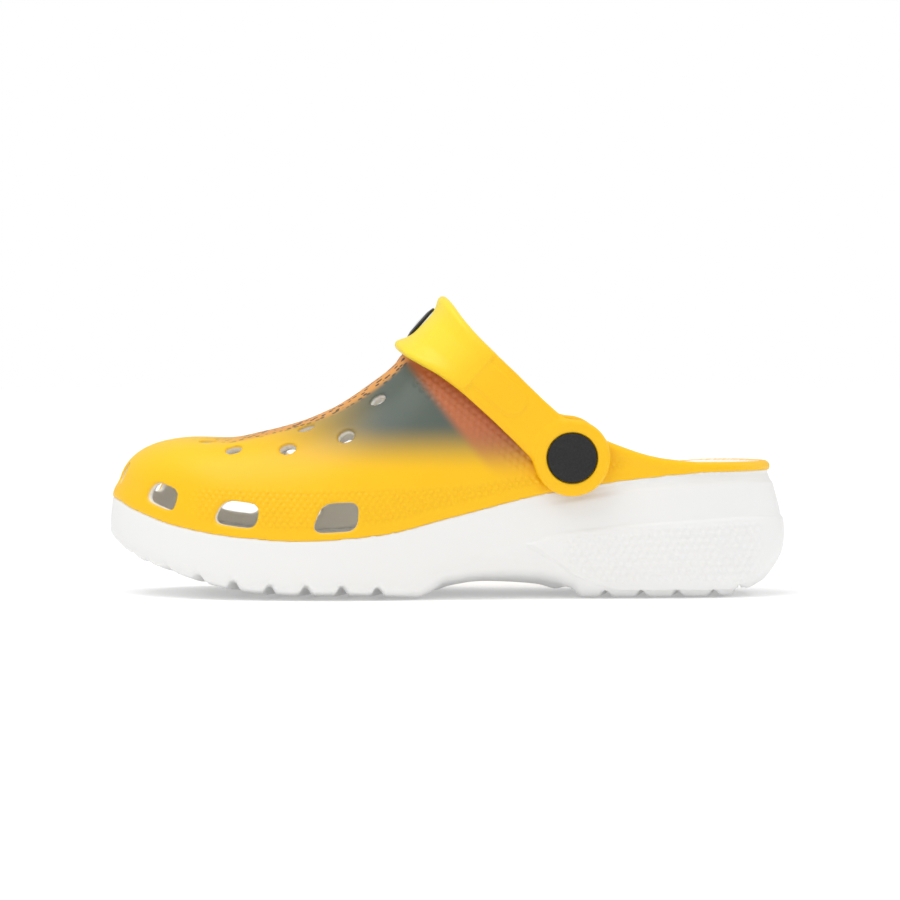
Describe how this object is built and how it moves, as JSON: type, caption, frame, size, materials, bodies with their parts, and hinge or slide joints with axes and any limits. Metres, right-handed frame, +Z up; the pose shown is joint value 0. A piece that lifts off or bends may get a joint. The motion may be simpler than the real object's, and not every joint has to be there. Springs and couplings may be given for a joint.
{
  "type": "garden clog",
  "caption": "Foam garden clog for the left foot: vented closed-toe upper on a treaded white sole, with a pivoting heel strap folded forward over the instep.",
  "frame": {"origin": "on the ground, under the middle of the clog's bounding box", "axes": "+Z up, toe to -X, heel to +X; the outer (lateral) side of this left clog is at -Y"},
  "size_m": [0.2795, 0.1099, 0.1227],
  "materials": {
    "white_foam": "satin moulded EVA foam",
    "footbed_foam": "matt EVA foam",
    "yellow_foam": "satin moulded EVA foam, printed",
    "rivet_plastic": "fine grain",
    "badge_plastic": "satin"
  },
  "bodies": {
    "shoe": {"sole": "white_foam", "footbed": "footbed_foam", "upper": "yellow_foam", "rivet_cap_lateral": "rivet_plastic", "rivet_cap_medial": "rivet_plastic", "rivet_back_lateral": "rivet_plastic", "rivet_back_medial": "rivet_plastic"},
    "strap": {"heel_strap": "yellow_foam", "strap_badge": "badge_plastic"}
  },
  "joints": [
    {"name": "strap_swing", "type": "hinge", "parent": "shoe", "child": "strap", "pos_m": [0.05138, 0, 0.05749], "axis": [0, 1, 0], "range_deg": [0, 120]}
  ]
}
